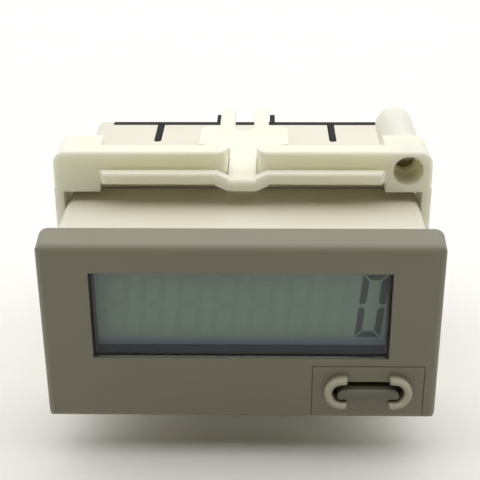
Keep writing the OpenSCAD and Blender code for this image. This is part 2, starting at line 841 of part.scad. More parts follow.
// Room that the blocks and legs fill: the bracket's outline with its front edges rounded
module bracket_form() {
    intersection() {
        along_y(bracket_y, ring_back) rounded(bracket_w, bracket_h, bracket_corner);
        along_x(bracket_w) translate([ring_back, 0]) nose(ring_l, bracket_h, bracket_edge);
        along_z(-bracket_h / 2, bracket_h / 2)
            translate([0, ring_back]) mirror([1, -1]) nose(ring_l, bracket_w, bracket_edge);
    }
}

// Upper half of the bracket, without the side legs
module bracket_upper() {
    intersection() {
        bracket_form();
        both_sides() translate([block_x, bracket_y, block_z]) cube([block_w, ring_l, ring_top - block_z]);
    }
    intersection() {
        bracket_form();
        along_x(bracket_w) wall_profile();
        both_sides() along_z(wall_z, ring_top) wall_plan();
    }
    both_sides() ring_foot();
    both_sides() spring_bar();
    intersection() {
        along_z(tongue_z, tongue_z + tongue_t) tongue_plan();
        along_x(pad_w) tongue_profile();
    }
    latch_tooth();
    at_xz(screw_x, screw_z) rod_y(boss_d / 2, bracket_y + counter_l, boss_back);
}

module mounting_bracket() {
    leg_h = 2 * (block_z + leg_lap);
    color(cream) difference() {
        union() {
            twofold() bracket_upper();
            both_sides() translate([ring_in_w / 2, bracket_y, -leg_h / 2]) cube([leg_t, ring_l, leg_h]);
        }
        twofold() at_xz(screw_x, screw_z) {
            rod_y(counter_d / 2, bracket_y - eps, bracket_y + counter_l);
            rod_y(screw_d / 2 + screw_fit, bracket_y, boss_back);
            rod_y(screw_head_d / 2 + bracket_fit, bore_y, boss_back + eps);
        }
    }
}

module clamp_screw() {
    color(steel) at_xz(screw_x, screw_z) difference() {
        union() {
            rod_y(screw_d / 2, head_y - screw_l, head_y + eps);
            rod_y(screw_head_d / 2, head_y, head_y + screw_head_h);
        }
        along_y(head_y + screw_head_h - slot_depth, head_y + screw_head_h + eps)
            square([screw_head_d + 1, slot_w], center = true);
    }
}

module clamp_screw_upper() {
    clamp_screw();
}

module clamp_screw_lower() {
    rotate([0, 180, 0]) clamp_screw();
}

bezel();
window();
key_surround();
reset_key();
switch_plunger();
reset_switch();
display_frame();
display_glass();
contact_strips();
display_board();
main_board();
board_pins();
counter_chip();
crystal();
capacitors();
coin_cell();
cell_tabs();
case();
terminal_block();
terminal_plates();
terminal_washers();
terminal_screws();
mounting_bracket();
clamp_screw_upper();
clamp_screw_lower();
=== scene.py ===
# %% [markdown]
# A small panel counter: a taupe front with a liquid crystal display and a reset key, a beige case
# behind it, black screw terminals at the rear and a cream bracket that clamps it into a panel.
# The solids come from the CAD frame. This lesson gives them their finishes, softens their moulded
# edges and adds what is too fine for the solids: display segments, screw threads and numerals.

# %% Load the frame
import json
import math

import bmesh
import bpy
from mathutils import Matrix, Vector


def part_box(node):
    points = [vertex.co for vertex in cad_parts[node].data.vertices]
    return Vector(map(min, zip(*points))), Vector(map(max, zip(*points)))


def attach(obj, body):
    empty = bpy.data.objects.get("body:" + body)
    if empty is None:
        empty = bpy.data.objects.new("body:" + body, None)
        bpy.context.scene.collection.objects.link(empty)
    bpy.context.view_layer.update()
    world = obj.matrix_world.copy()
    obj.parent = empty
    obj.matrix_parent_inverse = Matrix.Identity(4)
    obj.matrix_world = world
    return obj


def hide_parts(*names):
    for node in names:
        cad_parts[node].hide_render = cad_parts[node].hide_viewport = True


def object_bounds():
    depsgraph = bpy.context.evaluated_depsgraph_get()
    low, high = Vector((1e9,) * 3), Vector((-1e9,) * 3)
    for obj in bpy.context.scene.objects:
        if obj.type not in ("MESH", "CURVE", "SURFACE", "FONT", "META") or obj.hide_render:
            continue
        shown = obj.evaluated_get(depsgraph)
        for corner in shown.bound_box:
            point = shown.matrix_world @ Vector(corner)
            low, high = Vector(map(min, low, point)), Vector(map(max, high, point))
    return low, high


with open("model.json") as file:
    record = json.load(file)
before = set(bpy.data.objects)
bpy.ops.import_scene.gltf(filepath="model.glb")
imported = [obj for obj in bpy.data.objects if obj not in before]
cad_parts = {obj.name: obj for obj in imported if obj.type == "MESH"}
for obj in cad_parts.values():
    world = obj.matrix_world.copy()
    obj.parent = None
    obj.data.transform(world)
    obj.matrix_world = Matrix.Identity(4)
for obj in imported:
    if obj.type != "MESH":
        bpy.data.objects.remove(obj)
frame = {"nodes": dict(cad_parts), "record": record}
cad_low, cad_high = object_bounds()
MM = 0.001
print("loaded", len(frame["nodes"]), "solids, size in mm",
      [round(x / MM, 2) for x in cad_high - cad_low])

# %% [markdown]
# Every finish is a node tree on a Principled shader. Colours are written as sRGB hex values, the way
# a colour picker shows them, and one function turns them into the linear values that Blender mixes.
# A second function adds a node with its settings, its input values and its links, so that each
# finish below reads as a short list of nodes.

# %% Colour and node helpers
def colour(hex_code):
    """An sRGB hex value as a linear colour."""
    parts = [int(hex_code[i:i + 2], 16) / 255 for i in (1, 3, 5)]
    linear = [c / 12.92 if c <= 0.04045 else ((c + 0.055) / 1.055) ** 2.4 for c in parts]
    return (*linear, 1.0)


def add(tree, kind, settings=None, values=None, links=None):
    """One node, with its settings, its input values and what feeds its inputs."""
    made = tree.nodes.new(kind)
    for name, value in (settings or {}).items():
        setattr(made, name, value)
    for name, value in (values or {}).items():
        made.inputs[name].default_value = value
    for name, source in (links or {}).items():
        tree.links.new(source, made.inputs[name])
    return made


def finish(name, values):
    """A new material whose Principled shader has these input values."""
    made = bpy.data.materials.new(name)
    made.use_nodes = True
    tree = made.node_tree
    shader = tree.nodes["Principled BSDF"]
    for socket, value in values.items():
        shader.inputs[socket].default_value = value
    place = add(tree, "ShaderNodeTexCoord").outputs["Object"]
    return made, tree, shader, place


def per_metre(size_mm):
    """The scale of a pattern whose grains are this many millimetres wide."""
    return 1 / (size_mm * MM)


print("a mid grey of 128 is", round(colour("#808080")[0], 3), "in linear light")

# %% [markdown]
# Two patterns come back in most of the finishes. A moulding is never one flat colour: where the melt
# flowed its tone drifts a little, so a slow noise picks between two close tones. And no skin is quite
# smooth: a fine noise, read as height, breaks up the reflections. Painted images could do both, but
# noise at a real size in millimetres needs no unwrapping and holds at any distance.

# %% Tone and grain patterns
def two_tones(tree, place, drift_mm, shade, tone, detail=2.0, spread=0.2):
    """A colour that drifts between two close tones, over this many millimetres."""
    drift = add(tree, "ShaderNodeTexNoise", values={"Scale": per_metre(drift_mm), "Detail": detail},
                links={"Vector": place})
    ramp = add(tree, "ShaderNodeValToRGB", links={"Fac": drift.outputs["Fac"]})
    stops = ramp.color_ramp.elements
    stops[0].position = 0.5 - spread
    stops[0].color = colour(shade)
    stops[1].position = 0.5 + spread
    stops[1].color = colour(tone)
    return ramp.outputs["Color"]


def fine_grain(tree, place, shader, grain_mm, depth_mm, strength, detail):
    """A fine relief in the surface, with grains of this width and depth in millimetres."""
    grain = add(tree, "ShaderNodeTexNoise", values={"Scale": per_metre(grain_mm), "Detail": detail},
                links={"Vector": place})
    relief = add(tree, "ShaderNodeBump", values={"Strength": strength, "Distance": depth_mm * MM},
                 links={"Height": grain.outputs["Fac"]})
    tree.links.new(relief.outputs["Normal"], shader.inputs["Normal"])


print("a grain of 0.35 mm has a scale of", round(per_metre(0.35)), "per metre")

# %% [markdown]
# The counter's mouldings are ABS, and its terminal block is PBT. The mould's spark-eroded skin leaves
# a very fine satin grain. One function makes that finish for all of them, and for the small rubber,
# epoxy and vinyl pieces inside, because only colour, gloss and grain differ. The real grain is about
# 0.1 mm wide, too fine to show in the render, so it is drawn a few times coarser.

# %% Moulded plastics
FLOW_MM = 9.0


def moulded(name, tone, shade, roughness, grain_mm, depth_mm, ior=1.53):
    """Satin moulded plastic: two close tones in a slow drift, and a fine grain in the surface."""
    made, tree, shader, place = finish(name, {"Roughness": roughness, "IOR": ior})
    tree.links.new(two_tones(tree, place, FLOW_MM, shade, tone), shader.inputs["Base Color"])
    fine_grain(tree, place, shader, grain_mm, depth_mm, strength=0.5, detail=3.0)
    return made


# Front, ABS: a warm grey-brown with a broad soft sheen and no mirror image.
TAUPE = ("#7a7763", "#767360", 0.46, 0.35, 0.01)
taupe_abs = moulded("taupe_abs_satin", *TAUPE)
# Key, ABS from a smoother mould: darker than the front and a little glossier.
key_abs = moulded("taupe_key_abs", "#63604f", "#5f5c4c", 0.42, 0.35, 0.006)
# Case, ABS: a warm off-white, matt as an eggshell.
beige_abs = moulded("beige_case_abs", "#e8e4d6", "#e4dfd0", 0.5, 0.35, 0.01)
# Display frame and switch, ABS: bluish black and dull, so that the recess stays dark from any side.
black_abs = moulded("black_frame_abs", "#31313d", "#2c2c36", 0.5, 0.4, 0.006, 1.3)
# Terminal block, PBT: a deep neutral black that hardly shines even at a low angle, so its IOR is low.
black_pbt = moulded("black_terminal_pbt", "#1f1f1f", "#1a1a1a", 0.45, 0.3, 0.01, 1.12)
# Chip, epoxy: charcoal, ground dull.
chip_epoxy = moulded("chip_epoxy", "#26262a", "#212124", 0.6, 0.15, 0.01)
# Contact strips, silicone rubber: mid grey without any sheen.
grey_rubber = moulded("grey_silicone_rubber", "#45454d", "#3e3e46", 0.75, 0.2, 0.01)
# Capacitor sleeves, vinyl shrunk on: dark blue and glossy.
cap_sleeve = moulded("blue_vinyl_sleeve", "#2b3647", "#263040", 0.25, 0.5, 0.004)
print("moulded plastics made")

# %% [markdown]
# The guard ribs beside the key stand out in front of the plate and catch the light from above, so their
# crests and upper sides look paler than the plate; that paleness is a painted highlight. A second
# moulding would be the wrong piece: plate and ribs are one. The taupe finish is made once more, and its
# colour is mixed with a pale painted highlight by two things that the mesh gives: how far a point stands
# out (the Y of its Object coordinates) and how much its surface faces up (the Z of its normal).

# %% Painted highlight on the ribs
HIGHLIGHT_START_MM = -4.7
HIGHLIGHT_FULL_MM = -5.2
# The pale colour of the painted highlight, standing in for light from above on the ribs.
HIGHLIGHT_TONE = "#bdb9a4"
FACES_DOWN = -0.6
FACES_UP = 0.4
LEAST_HIGHLIGHT = 0.25


def rubbed_ribs():
    """The taupe plastic with a painted highlight: paler out to the crests of its ribs and where it faces
    up.
    """
    made = moulded("taupe_abs_painted_highlight", *TAUPE)
    tree = made.node_tree
    base = tree.nodes["Principled BSDF"].inputs["Base Color"]
    plain = base.links[0].from_socket
    place = add(tree, "ShaderNodeTexCoord")
    point = add(tree, "ShaderNodeSeparateXYZ", links={"Vector": place.outputs["Object"]})
    proud = add(tree, "ShaderNodeMapRange", links={"Value": point.outputs["Y"]},
                values={"From Min": HIGHLIGHT_START_MM * MM, "From Max": HIGHLIGHT_FULL_MM * MM})
    facing = add(tree, "ShaderNodeSeparateXYZ", links={"Vector": place.outputs["Normal"]})
    upward = add(tree, "ShaderNodeMapRange", links={"Value": facing.outputs["Z"]}, values={
        "From Min": FACES_DOWN, "From Max": FACES_UP, "To Min": LEAST_HIGHLIGHT, "To Max": 1.0})
    # Painted highlight: strongest where a rib stands out and faces up.
    highlighted = add(tree, "ShaderNodeMath", settings={"operation": "MULTIPLY"},
                 links={0: proud.outputs["Result"], 1: upward.outputs["Result"]})
    face = add(tree, "ShaderNodeMix", settings={"data_type": "RGBA"}, values={"B": colour(HIGHLIGHT_TONE)},
               links={"Factor": highlighted.outputs["Value"], "A": plain})
    tree.links.new(face.outputs["Result"], base)
    return made


# Key plate, ABS: taupe like the front, with a painted highlight on its two ribs.
painted_highlight_abs = rubbed_ribs()
print("ribs rubbed from", HIGHLIGHT_START_MM, "to", HIGHLIGHT_FULL_MM, "mm")

# %% [markdown]
# The bracket is nylon in its natural cream. Nylon is slightly translucent: light that enters a thin
# bar comes out of its shaded side, which keeps the shadows warm. Subsurface scattering over about two
# millimetres does that. Its radius is nearly the same for red, green and blue, because a strong
# difference would turn the thin edges bluish.

# %% Cream nylon
SCATTER_MM = 2.0
SCATTER_RGB = (1.0, 0.97, 0.85)
NYLON_DRIFT_MM = 14.0


def cream_nylon():
    """Natural nylon: cream, waxy and a little translucent."""
    made, tree, shader, place = finish("cream_nylon", {
        "Roughness": 0.38, "IOR": 1.53, "Subsurface Weight": 0.8,
        "Subsurface Radius": SCATTER_RGB, "Subsurface Scale": SCATTER_MM * MM,
    })
    tones = two_tones(tree, place, NYLON_DRIFT_MM, "#f8f4de", "#faf7e6")
    tree.links.new(tones, shader.inputs["Base Color"])
    fine_grain(tree, place, shader, grain_mm=0.8, depth_mm=0.012, strength=0.35, detail=2.0)
    return made


# Bracket, nylon: cream and waxy, glowing a little at thin edges.
nylon = cream_nylon()
print("nylon scatters over", SCATTER_MM, "mm")

# %% [markdown]
# The metal pieces are plated: zinc on the screws, nickel on the terminals, tin on springs and pins,
# bright steel on the coin cell. Stamped and rolled metal has fine parallel scratches, here a noise
# that is stretched along one direction. On the screws, which are tumbled, the marks run all ways.
# Real ones are a few hundredths of a millimetre wide, so they are drawn coarser. A metal keeps the
# shader's default IOR.

# %% Plated metals
SCRATCH_MM = 0.12


def plated(name, tone, roughness, stretch):
    """Plated metal with fine scratches; stretch is how long they are along X, Y and Z."""
    made, tree, shader, place = finish(name, {"Metallic": 1.0, "Base Color": colour(tone)})
    along = add(tree, "ShaderNodeMapping", links={"Vector": place},
                values={"Scale": [1 / s for s in stretch]})
    scratch = add(tree, "ShaderNodeTexNoise", values={"Scale": per_metre(SCRATCH_MM), "Detail": 3.0},
                  links={"Vector": along.outputs["Vector"]})
    gloss = add(tree, "ShaderNodeMapRange", links={"Value": scratch.outputs["Fac"]},
                values={"To Min": roughness - 0.08, "To Max": roughness + 0.1})
    tree.links.new(gloss.outputs["Result"], shader.inputs["Roughness"])
    relief = add(tree, "ShaderNodeBump", values={"Strength": 0.3, "Distance": 0.006 * MM},
                 links={"Height": scratch.outputs["Fac"]})
    tree.links.new(relief.outputs["Normal"], shader.inputs["Normal"])
    return made


# Terminal screws, zinc on steel: cool silver with a soft mirror.
zinc = plated("zinc_plated_steel", "#c4c2bb", 0.3, (1, 1, 1))
# Clamp screws, olive passivated zinc: a dull yellowish brown metal.
dark_zinc = plated("olive_zinc_plated_steel", "#8d8772", 0.4, (1, 1, 1))
# Terminal plates and washers, nickel on brass: warm silver, scratched upright.
nickel = plated("nickel_plated_brass", "#cfc8b4", 0.28, (1, 1, 8))
# Pins, cell tabs and the crystal's can, tinned bronze: greyish white, scratched along their length.
tinned = plated("tinned_bronze", "#c9c8c2", 0.32, (1, 8, 1))
# Coin cell, rolled steel: the brightest of the metals, scratched across.
cell_steel = plated("bright_cell_steel", "#cdcdcb", 0.22, (8, 1, 1))
print("plated metals made")

# %% [markdown]
# The window is clear acrylic with an anti-glare coat: the display shows through it with hardly any
# reflection. A shader for a thin film would be one way. A lower IOR than bare acrylic's 1.49 is a
# simpler one, since the pane is flat and thin and bends the view very little. The circuit boards are
# glass laminate under a green solder mask.

# %% Window and boards
WIPE_MM = 3.0

# Window, coated acrylic: clear, with a trace of haze where it was wiped.
window_acrylic, window_tree, window_shader, window_place = finish("clear_acrylic_anti_glare", {
    "Base Color": colour("#f4f8f6"), "IOR": 1.3, "Transmission Weight": 1.0,
})
haze = add(window_tree, "ShaderNodeTexNoise", values={"Scale": per_metre(WIPE_MM), "Detail": 1.0},
           links={"Vector": window_place})
smear = add(window_tree, "ShaderNodeMapRange", values={"To Min": 0.02, "To Max": 0.05},
            links={"Value": haze.outputs["Fac"]})
window_tree.links.new(smear.outputs["Result"], window_shader.inputs["Roughness"])
# Boards, solder mask over laminate: leaf green and smooth, half glossy.
solder_mask = moulded("green_solder_mask", "#2f6a3c", "#2a6236", 0.35, 0.6, 0.004)
print("window and boards made")

# %% [markdown]
# The display is a reflective liquid crystal cell: a grey-green reflector with a fine metallic grain
# behind glass. Towards its lower edge the colour turns darker, to a dark slate. That darkening
# follows the cell's own height, so the finish reads the Z of its Object coordinates. The real
# grain is below a tenth of a millimetre and is drawn at half a millimetre.

# %% Display face
DARK_FROM_MM = -1.2
DARK_TO_MM = -2.9
REFLECTOR_GRAIN_MM = 0.5


def display_reflector():
    """Grey-green reflector with a fine grain, turning dark towards its lower edge."""
    made, tree, shader, place = finish("aluminium_reflector_film", {"Roughness": 0.35, "IOR": 1.3})
    green = two_tones(tree, place, REFLECTOR_GRAIN_MM, "#778478", "#7c8a7e", detail=3.0, spread=0.15)
    axes = add(tree, "ShaderNodeSeparateXYZ", links={"Vector": place})
    edge = add(tree, "ShaderNodeMapRange", settings={"interpolation_type": "SMOOTHSTEP"},
               values={"From Min": DARK_FROM_MM * MM, "From Max": DARK_TO_MM * MM},
               links={"Value": axes.outputs["Z"]})
    face = add(tree, "ShaderNodeMix", settings={"data_type": "RGBA"}, values={"B": colour("#6a6e80")},
               links={"Factor": edge.outputs["Result"], "A": green})
    tree.links.new(face.outputs["Result"], shader.inputs["Base Color"])
    return made


# Display, aluminium film under a polarizer: a calm grey-green with a slate lower edge.
reflector = display_reflector()
# Lit segments, crystal that blocks the light: dark slate, without a gloss of its own.
segment_lit = moulded("dark_liquid_crystal", "#424a4a", "#3e4646", 0.35, 0.5, 0.001, 1.2)
# Unlit segments, clear electrodes: only just darker than the reflector.
segment_ghost = moulded("clear_electrode_film", "#77857a", "#748177", 0.35, 0.5, 0.001, 1.3)
print("display finishes made")

# %% [markdown]
# Each solid of the frame now gets its finish, the hidden ones inside the case too, so that they look
# right when the case is taken off.

# %% Finishes on the solids
FINISHES = {
    "bezel": taupe_abs, "key_surround": painted_highlight_abs, "reset_key": key_abs, "window": window_acrylic,
    "switch_plunger": black_abs, "reset_switch": black_abs, "display_frame": black_abs,
    "display_glass": reflector, "contact_strips": grey_rubber, "display_board": solder_mask,
    "main_board": solder_mask, "board_pins": tinned, "counter_chip": chip_epoxy, "crystal": tinned,
    "capacitors": cap_sleeve, "coin_cell": cell_steel, "cell_tabs": tinned, "case": beige_abs,
    "terminal_block": black_pbt, "terminal_plates": nickel, "terminal_washers": nickel,
    "terminal_screws": zinc, "mounting_bracket": nylon, "clamp_screw_upper": dark_zinc,
    "clamp_screw_lower": dark_zinc,
}
for node_name, material in FINISHES.items():
    solid = frame["nodes"][node_name]
    solid.data.materials.clear()
    solid.data.materials.append(material)
print("finishes set on", len(FINISHES), "solids")

# %% [markdown]
# A finished piece is a plain mesh at the origin that rides on a body of the frame. A few helpers lead
# there: they link a new object, turn what its modifiers give into its own mesh, shade it smooth up to
# the edges that stay sharp, and say which body it rides on.

# %% Helpers for pieces
BODIES = frame["record"]["behaviour"]["bodies"]
BODY_OF = {node: body for body, nodes in BODIES.items() for node in nodes}
CREASE = math.radians(50)


def new_object(name, data):
    """An object at the origin with this mesh, text, lamp or camera."""
    made = bpy.data.objects.new(name, data)
    bpy.context.scene.collection.objects.link(made)
    return made


def evaluated_mesh(source):
    """The plain mesh that an object gives once its modifiers or its text are worked out."""
    return bpy.data.meshes.new_from_object(source.evaluated_get(bpy.context.evaluated_depsgraph_get()))


def apply_modifiers(piece):
    """Makes what a piece's modifiers give its own mesh."""
    made = evaluated_mesh(piece)
    piece.modifiers.clear()
    piece.data = made


def smooth_by_angle(mesh):
    """Smooth shading, broken at the edges that stay sharp."""
    work = bmesh.new()
    work.from_mesh(mesh)
    for face in work.faces:
        face.smooth = True
    for edge in work.edges:
        edge.smooth = edge.calc_face_angle(0.0) < CREASE
    work.to_mesh(mesh)
    work.free()


def settle(piece, body):
    """Lets a finished piece ride on a body, and prints how many faces it has."""
    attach(piece, body)
    print(piece.name, "has", len(piece.data.polygons), "faces")


print("bodies:", ", ".join(BODIES))

# %% [markdown]
# Moulded and turned pieces have no razor edges. A copy of each visible solid is merged into clean
# faces and its edges are bevelled by a fraction of a millimetre, so that every edge catches a thin
# line of light. Weighted normals keep the large faces flat beside the narrow bevels. The copy stands
# for the solid, which keeps its place in the frame. Two kinds of piece are reshaped first: the ribs
# of the key plate get round crests, and the clamp screws lose their plain shanks, because threaded
# ones follow below.

# %% Softened edges
MERGE = 0.0005 * MM
FLAT = math.radians(0.5)
SHARP = math.radians(30)
CREST_MM = 0.38
CREST_Y = -5.25 * MM
SHANK_CUT = 23.95 * MM


def round_crest(work):
    """Rounds the edges along the crests of the ribs."""
    ridge = [edge for edge in work.edges
             if max(vert.co.y for vert in edge.verts) < CREST_Y and edge.calc_face_angle(0.0) > SHARP]
    bmesh.ops.bevel(work, geom=ridge, offset=CREST_MM * MM, segments=4, profile=0.5,
                    affect="EDGES", clamp_overlap=False)
    print("crest rounded along", len(ridge), "edges")


def cut_shank(work):
    """Takes the plain shank off a screw just in front of its head."""
    bmesh.ops.bisect_plane(work, geom=work.verts[:] + work.edges[:] + work.faces[:],
                           plane_co=(0, SHANK_CUT, 0), plane_no=(0, 1, 0), clear_inner=True)
    bmesh.ops.edgeloop_fill(work, edges=[edge for edge in work.edges if edge.is_boundary])


def soften(node, width_mm, reshape=None):
    """A copy of a solid with bevelled edges, standing for that solid."""
    mesh = frame["nodes"][node].data.copy()
    work = bmesh.new()
    work.from_mesh(mesh)
    bmesh.ops.remove_doubles(work, verts=work.verts, dist=MERGE)
    bmesh.ops.dissolve_limit(work, angle_limit=FLAT, verts=work.verts, edges=work.edges)
    if reshape:
        reshape(work)
    work.to_mesh(mesh)
    work.free()
    piece = new_object(node + "_finished", mesh)
    bevel = piece.modifiers.new("edges", "BEVEL")
    bevel.width = width_mm * MM
    bevel.segments = 2
    bevel.limit_method = "ANGLE"
    bevel.angle_limit = SHARP
    bevel.use_clamp_overlap = True
    apply_modifiers(piece)
    smooth_by_angle(piece.data)
    flats = piece.modifiers.new("flat faces stay flat", "WEIGHTED_NORMAL")
    flats.keep_sharp = True
    apply_modifiers(piece)
    settle(piece, BODY_OF[node])
    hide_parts(node)


EDGE_MM = {
    "bezel": 0.12, "key_surround": 0.12, "reset_key": 0.12, "case": 0.2, "terminal_block": 0.1,
    "terminal_plates": 0.08, "terminal_washers": 0.08, "terminal_screws": 0.12,
    "mounting_bracket": 0.18, "clamp_screw_upper": 0.12, "clamp_screw_lower": 0.12,
}
RESHAPE = {"key_surround": round_crest, "clamp_screw_upper": cut_shank, "clamp_screw_lower": cut_shank}
for node_name, edge_width in EDGE_MM.items():
    soften(node_name, edge_width, RESHAPE.get(node_name))

# %% [markdown]
# Several small pieces below are flat outlines with a thickness along Y: display segments, a ledge, a
# flange. One helper adds such a prism to a mesh in the making, and another turns all faces outwards
# and gives the mesh its name. Extruded curves would do too, but a prism has no more faces than it
# needs.

# %% Helpers for prisms
def add_prism(work, outline, front_y, back_y):
    """Adds a closed prism along Y from an outline in X and Z, in metres."""
    front = [work.verts.new((x, front_y, z)) for x, z in outline]
    back = [work.verts.new((x, back_y, z)) for x, z in outline]
    work.faces.new(front)
    work.faces.new(back[::-1])
    for i in range(len(outline)):
        j = (i + 1) % len(outline)
        work.faces.new([front[j], front[i], back[i], back[j]])


def closed_mesh(work, name, material=None):
    """A mesh from what was built, with its faces turned outwards and its finish."""
    bmesh.ops.recalc_face_normals(work, faces=work.faces)
    mesh = bpy.data.meshes.new(name)
    work.to_mesh(mesh)
    work.free()
    if material:
        mesh.materials.append(material)
    return mesh


def prism_piece(name, outline, front_y, back_y, material):
    """A prism that is a piece of the counter's own body."""
    work = bmesh.new()
    add_prism(work, outline, front_y, back_y)
    settle(new_object(name, closed_mesh(work, name, material)), "counter")


print("prism helpers ready")

# %% [markdown]
# A counter shows its number with seven-segment digits. Each segment is a bar with slanted ends, and
# the whole digit leans to the right. One function draws the outlines of a digit's segments from its
# height, width and stroke, so the lit zero and the faint unlit digits share them.

# %% Seven-segment digits
DIGIT_H = 8.6
DIGIT_W = 3.12
STROKE = 0.82
GAP = 0.16
LEAN = math.radians(5.3)
SEGMENT_T = 0.03


def mirrored(points, x, z):
    """An outline with its X and Z multiplied by 1 or -1."""
    return [(x * px, z * pz) for px, pz in points]


def segment_outlines():
    """Outlines of the seven segments round the digit's centre, in millimetres."""
    half_w, half_h, s, g = DIGIT_W / 2, DIGIT_H / 2, STROKE, GAP
    top = [(-half_w + g, half_h), (half_w - g, half_h),
           (half_w - g - s, half_h - s), (-half_w + g + s, half_h - s)]
    side = [(-half_w, half_h - g), (-half_w + s, half_h - g - s), (-half_w + s, g + s / 2),
            (-half_w + s / 2, g), (-half_w, g + s / 4)]
    middle = [(-half_w + s / 2 + g, 0), (-half_w + s + g, s / 2), (half_w - s - g, s / 2),
              (half_w - s / 2 - g, 0), (half_w - s - g, -s / 2), (-half_w + s + g, -s / 2)]
    return {
        "a": top, "b": mirrored(side, -1, 1), "c": mirrored(side, -1, -1), "d": mirrored(top, 1, -1),
        "e": mirrored(side, 1, -1), "f": side, "g": middle,
    }


def digit_mesh(name, shown, front_y):
    """A thin plate for each shown segment, its front at front_y, round X = 0 and Z = 0."""
    work = bmesh.new()
    outlines = segment_outlines()
    for key in shown:
        leant = [((x + z * math.tan(LEAN)) * MM, z * MM) for x, z in outlines[key]]
        add_prism(work, leant, front_y, front_y + SEGMENT_T * MM)
    return closed_mesh(work, name)


display_low, display_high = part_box("display_glass")
display_front = display_low.y
display_mid_z = (display_low.z + display_high.z) / 2
print("display front at", round(display_front / MM, 2), "mm")

# %% [markdown]
# The eight unlit digits repeat at one pitch, so Geometry Nodes places them: a line of points, the
# digit on each point, then Realize Instances and Set Material. The result becomes a plain mesh. The
# lit zero is a row of one, laid over the unlit digit at the right.

# %% Rows of digits with Geometry Nodes
DIGITS = 8
DIGIT_PITCH = 4.38
LAST_DIGIT_X = 15.65
UNLIT_LIFT = 0.01
LIT_LIFT = 0.04


def row_tree(name, material):
    """Geometry Nodes that repeat the incoming mesh along a line."""
    tree = bpy.data.node_groups.new(name, "GeometryNodeTree")
    tree.interface.new_socket("Geometry", in_out="INPUT", socket_type="NodeSocketGeometry")
    tree.interface.new_socket("Count", in_out="INPUT", socket_type="NodeSocketInt")
    tree.interface.new_socket("Start", in_out="INPUT", socket_type="NodeSocketVector")
    tree.interface.new_socket("Step", in_out="INPUT", socket_type="NodeSocketVector")
    tree.interface.new_socket("Geometry", in_out="OUTPUT", socket_type="NodeSocketGeometry")
    enter = add(tree, "NodeGroupInput")
    line = add(tree, "GeometryNodeMeshLine", links={
        "Count": enter.outputs["Count"], "Start Location": enter.outputs["Start"],
        "Offset": enter.outputs["Step"]})
    copies = add(tree, "GeometryNodeInstanceOnPoints", links={
        "Points": line.outputs["Mesh"], "Instance": enter.outputs["Geometry"]})
    real = add(tree, "GeometryNodeRealizeInstances", links={"Geometry": copies.outputs["Instances"]})
    coated = add(tree, "GeometryNodeSetMaterial", values={"Material": material},
                 links={"Geometry": real.outputs["Geometry"]})
    add(tree, "NodeGroupOutput", links={"Geometry": coated.outputs["Geometry"]})
    return tree


def digit_row(name, shown, lift_mm, count, material):
    """A row of digits in front of the display, leftwards from the last place."""
    piece = new_object(name, digit_mesh(name, shown, display_front - lift_mm * MM))
    modifier = piece.modifiers.new("row", "NODES")
    modifier.node_group = row_tree(name + "_row", material)
    inputs = {
        "Count": count, "Start": (LAST_DIGIT_X * MM, 0, display_mid_z), "Step": (-DIGIT_PITCH * MM, 0, 0),
    }
    for item in modifier.node_group.interface.items_tree:
        if item.in_out == "INPUT" and item.name in inputs:
            modifier[item.identifier] = inputs[item.name]
    apply_modifiers(piece)
    settle(piece, "counter")


digit_row("display_unlit_segments", "abcdefg", UNLIT_LIFT, DIGITS, segment_ghost)
digit_row("display_lit_segments", "abcdef", LIT_LIFT, 1, segment_lit)

# %% [markdown]
# The plate round the key rests on a ledge of the bezel, so the parting line between the two mouldings
# is a shallow groove and not a deep slot. One strip, bent round three sides of the plate, is that
# ledge. It lies a little below the face, where it takes some light and keeps the line soft.

# %% Ledge behind the key plate
LEDGE_GAP = 0.1
LEDGE_DEPTH = 0.22
LEDGE_T = 0.6
LEDGE_UP = 0.4

plate_low, plate_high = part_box("key_surround")
gap = LEDGE_GAP * MM
ledge_end = plate_low.z + LEDGE_UP * MM
ledge_outline = [
    (plate_low.x - gap, ledge_end), (plate_low.x - gap, plate_high.z + gap),
    (plate_high.x + gap, plate_high.z + gap), (plate_high.x + gap, ledge_end),
    (plate_high.x, ledge_end), (plate_high.x, plate_high.z),
    (plate_low.x, plate_high.z), (plate_low.x, ledge_end),
]
ledge_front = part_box("bezel")[0].y + LEDGE_DEPTH * MM
prism_piece("key_plate_ledge", ledge_outline, ledge_front, ledge_front + LEDGE_T * MM,
            taupe_abs)

# %% [markdown]
# The clamp screws press on the panel with their tips, so their threads show when they are run out of
# the bracket. A bump pattern would not change the outline, so the thread is real: one root line and
# one crest line, both helices, with faces between a turn and the next. Each end is closed with a fan
# to the axis.

# %% Screw threads
THREAD_PITCH = 0.5
THREAD_TURNS = 19
THREAD_STEPS = 24
ROOT_R = 1.0
CREST_R = 1.25
THREAD_END = 24.05


def thread_mesh(name, x, z):
    """A closed threaded rod along Y, ending inside the screw's head."""
    work = bmesh.new()
    start = THREAD_END - (THREAD_TURNS + 1) * THREAD_PITCH

    def point(step, radius, lift):
        angle = 2 * math.pi * step / THREAD_STEPS
        y = start + (step / THREAD_STEPS + lift) * THREAD_PITCH
        across = Vector((math.cos(angle), 0, math.sin(angle))) * radius * MM
        return work.verts.new(Vector((x, y * MM, z)) + across)

    count = THREAD_TURNS * THREAD_STEPS
    root = [point(i, ROOT_R, 0.0) for i in range(count + THREAD_STEPS + 1)]
    crest = [point(i, CREST_R, 0.5) for i in range(count + 1)]
    for i in range(count):
        above = i + THREAD_STEPS
        work.faces.new([root[i], root[i + 1], crest[i + 1], crest[i]])
        work.faces.new([crest[i], crest[i + 1], root[above + 1], root[above]])
    for first, y in ((0, start), (count, THREAD_END)):
        rim = root[first:first + THREAD_STEPS + 1] + [crest[first]]
        middle = work.verts.new((x, y * MM, z))
        for i in range(len(rim)):
            work.faces.new([rim[i], rim[(i + 1) % len(rim)], middle])
    return closed_mesh(work, name, dark_zinc)


